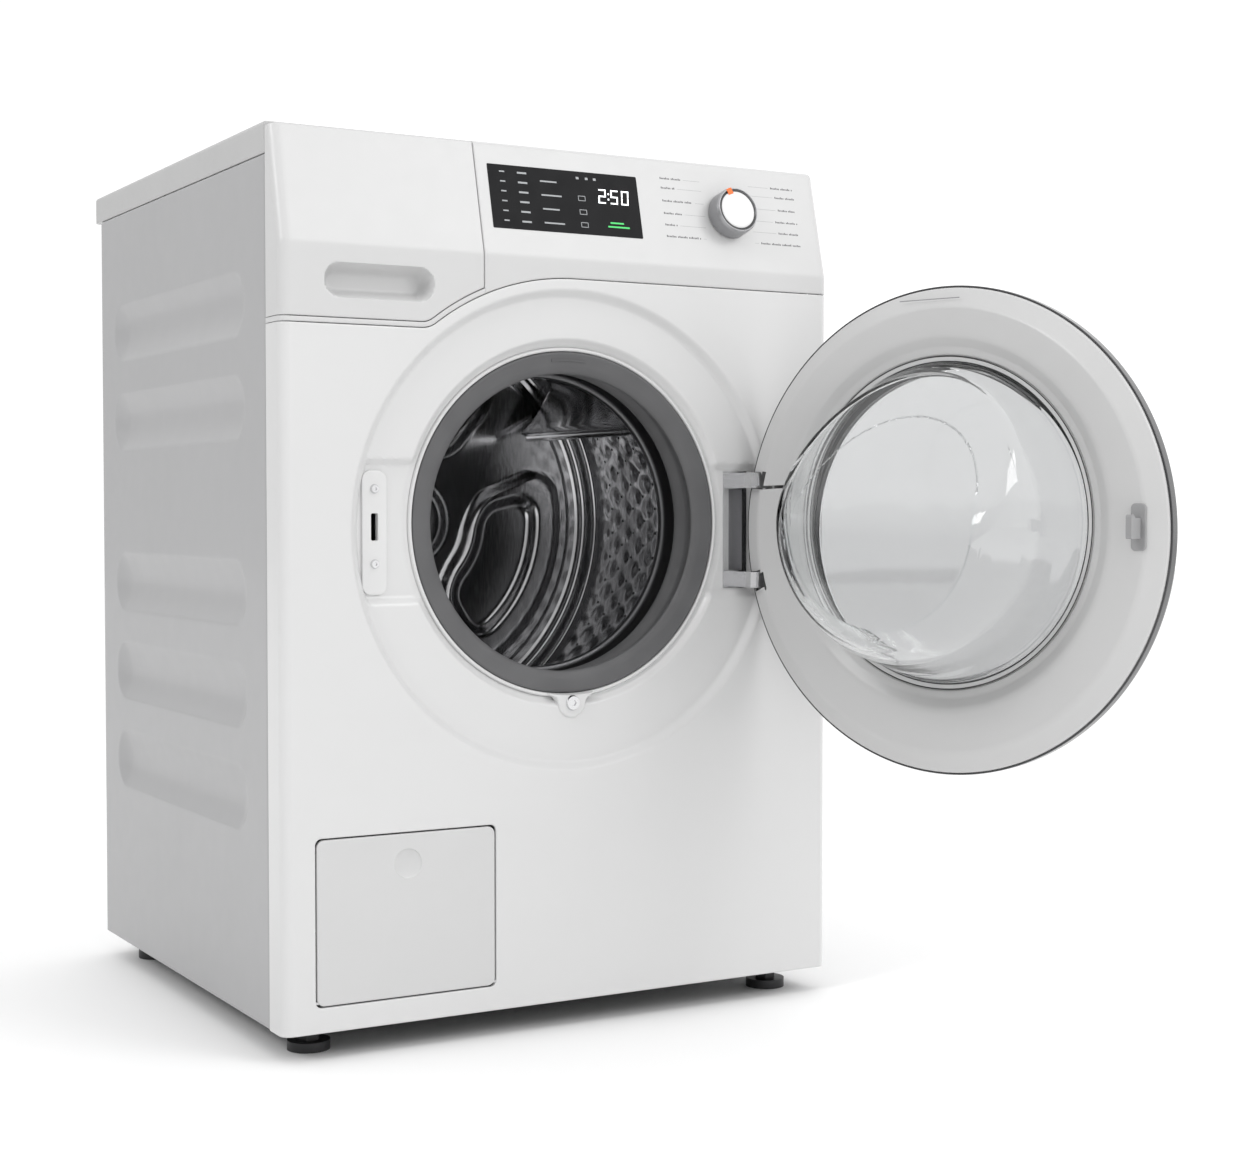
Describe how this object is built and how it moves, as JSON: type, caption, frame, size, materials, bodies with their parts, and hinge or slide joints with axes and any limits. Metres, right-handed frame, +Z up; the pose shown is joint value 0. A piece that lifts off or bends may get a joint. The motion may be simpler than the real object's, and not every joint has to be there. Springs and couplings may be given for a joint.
{
  "type": "front load washing machine",
  "caption": "Front load washing machine with an open porthole door, leaning control fascia, dispenser drawer, service flap and a sprung tub with a belt-driven drum.",
  "frame": {"origin": "on the floor, midway between the four feet", "axes": "+X to the right as seen from the front, +Y to the back, +Z up"},
  "size_m": [0.6694, 1.0084, 0.85],
  "materials": {
    "painted_steel": "satin white enamel",
    "front_enamel": "white enamel",
    "rear_zinc": "pale grey enamel",
    "white_plastic": "white, soft gloss",
    "door_plastic": "pale grey-white, satin",
    "graphite_plastic": "graphite, gloss",
    "display_black": "black, polished",
    "smoked_window": "smoked, polished",
    "clear_glass": "clear, polished",
    "lid_board": "white laminated board",
    "grey_rubber": "grey, soft satin",
    "black_rubber": "black, dull",
    "drum_steel": "brushed stainless",
    "steel_parts": "bright steel",
    "cast_alloy": "cast, matt",
    "cast_weight": "rough cast",
    "tub_plastic": "glass-filled, pale grey",
    "tray_plastic": "pale grey",
    "base_plastic": "dark grey",
    "black_plastic": "black",
    "filter_plastic": "blue-grey",
    "board_green": "green circuit board",
    "lifter_plastic": "pale grey",
    "dial_plastic": "satin silver"
  },
  "bodies": {
    "cabinet": {"side_panel_left": "painted_steel", "side_panel_right": "painted_steel", "rear_panel": "rear_zinc", "rear_access_cover": "rear_zinc", "base_tray": "base_plastic", "front_panel": "front_enamel", "cross_rails": "steel_parts", "top_lid": "lid_board", "control_fascia": "white_plastic", "display_window": "display_black", "control_board": "board_green", "dispenser_housing": "tray_plastic", "inlet_valve": "tub_plastic", "water_hose": "black_rubber", "door_lock": "black_plastic", "lock_plate": "white_plastic", "front_screws": "steel_parts", "hinge_bracket": "cast_alloy", "door_gasket": "grey_rubber", "gasket_clamp": "white_plastic", "drain_pump": "tub_plastic", "sump_hose": "black_rubber", "drain_pipe": "base_plastic", "mains_terminal": "black_plastic", "damper_cylinders": "base_plastic", "suspension_springs": "steel_parts", "dispenser_hose": "black_rubber"},
    "door": {"door_frame": "door_plastic", "door_rim": "graphite_plastic", "door_bowl": "clear_glass", "door_window": "smoked_window", "hinge_pin": "steel_parts", "door_catch": "steel_parts"},
    "drawer": {"drawer_front": "white_plastic", "drawer_tray": "tray_plastic"},
    "dial": {"dial_knob": "dial_plastic"},
    "flap": {"service_flap": "white_plastic"},
    "filter": {"pump_filter": "filter_plastic"},
    "tub": {"tub_front": "tub_plastic", "tub_rear": "tub_plastic", "front_counterweight": "cast_weight", "top_counterweight": "cast_weight", "bearing_front": "steel_parts", "bearing_rear": "steel_parts", "heater": "steel_parts", "motor": "cast_alloy", "damper_rods": "steel_parts", "drive_belt": "black_rubber"},
    "drum": {"drum_shell": "drum_steel", "drum_front": "drum_steel", "drum_back": "drum_steel", "drum_lifters": "lifter_plastic", "drum_spider": "cast_alloy", "drum_shaft": "steel_parts", "drum_pulley": "cast_alloy"},
    "motor_rotor": {"motor_pulley": "steel_parts"},
    "foot_front_left": {"foot_front_left": "black_plastic"},
    "foot_front_right": {"foot_front_right": "black_plastic"},
    "foot_rear_left": {"foot_rear_left": "black_plastic"},
    "foot_rear_right": {"foot_rear_right": "black_plastic"}
  },
  "joints": [
    {"name": "door_hinge", "type": "hinge", "parent": "cabinet", "child": "door", "pos_m": [0.208, -0.297, 0.48], "axis": [0, 0, 1], "range_deg": [-110, 40]},
    {"name": "drawer_slide", "type": "slide", "parent": "cabinet", "child": "drawer", "axis": [0, -1, 0], "range_m": [0, 0.25]},
    {"name": "dial_turn", "type": "hinge", "parent": "cabinet", "child": "dial", "pos_m": [0.1835, -0.26665, 0.79541], "axis": [0, -0.9722, 0.2342], "continuous": true},
    {"name": "flap_hinge", "type": "hinge", "parent": "cabinet", "child": "flap", "pos_m": [-0.176, -0.2777, 0.05275], "axis": [1, 0, 0], "range_deg": [0, 90]},
    {"name": "filter_turn", "type": "hinge", "parent": "cabinet", "child": "filter", "pos_m": [-0.176, -0.22, 0.118], "axis": [0, -1, 0], "range_deg": [0, 90]},
    {"name": "tub_float", "type": "slide", "parent": "cabinet", "child": "tub", "axis": [0, 0, 1], "range_m": [-0.012, 0.008], "stiffness_N_per_m": 20000, "springref_m": 0.025, "deforming": ["suspension_springs", "sump_hose", "dispenser_hose", "door_gasket"]},
    {"name": "drum_spin", "type": "hinge", "parent": "tub", "child": "drum", "pos_m": [0, -0.03, 0.4875], "axis": [0, 1, 0], "continuous": true},
    {"name": "motor_spin", "type": "hinge", "parent": "tub", "child": "motor_rotor", "pos_m": [0.1, 0.16, 0.176], "axis": [0, 1, 0], "continuous": true},
    {"name": "foot_front_left_turn", "type": "hinge", "parent": "cabinet", "child": "foot_front_left", "pos_m": [-0.255, -0.23, 0.03], "axis": [0, 0, 1], "continuous": true},
    {"name": "foot_front_right_turn", "type": "hinge", "parent": "cabinet", "child": "foot_front_right", "pos_m": [0.255, -0.23, 0.03], "axis": [0, 0, 1], "continuous": true},
    {"name": "foot_rear_left_turn", "type": "hinge", "parent": "cabinet", "child": "foot_rear_left", "pos_m": [-0.255, 0.23, 0.03], "axis": [0, 0, 1], "continuous": true},
    {"name": "foot_rear_right_turn", "type": "hinge", "parent": "cabinet", "child": "foot_rear_right", "pos_m": [0.255, 0.23, 0.03], "axis": [0, 0, 1], "continuous": true}
  ],
  "couplings": [
    {"joint": "motor_spin", "follows": "drum_spin", "ratio": 12.5}
  ]
}
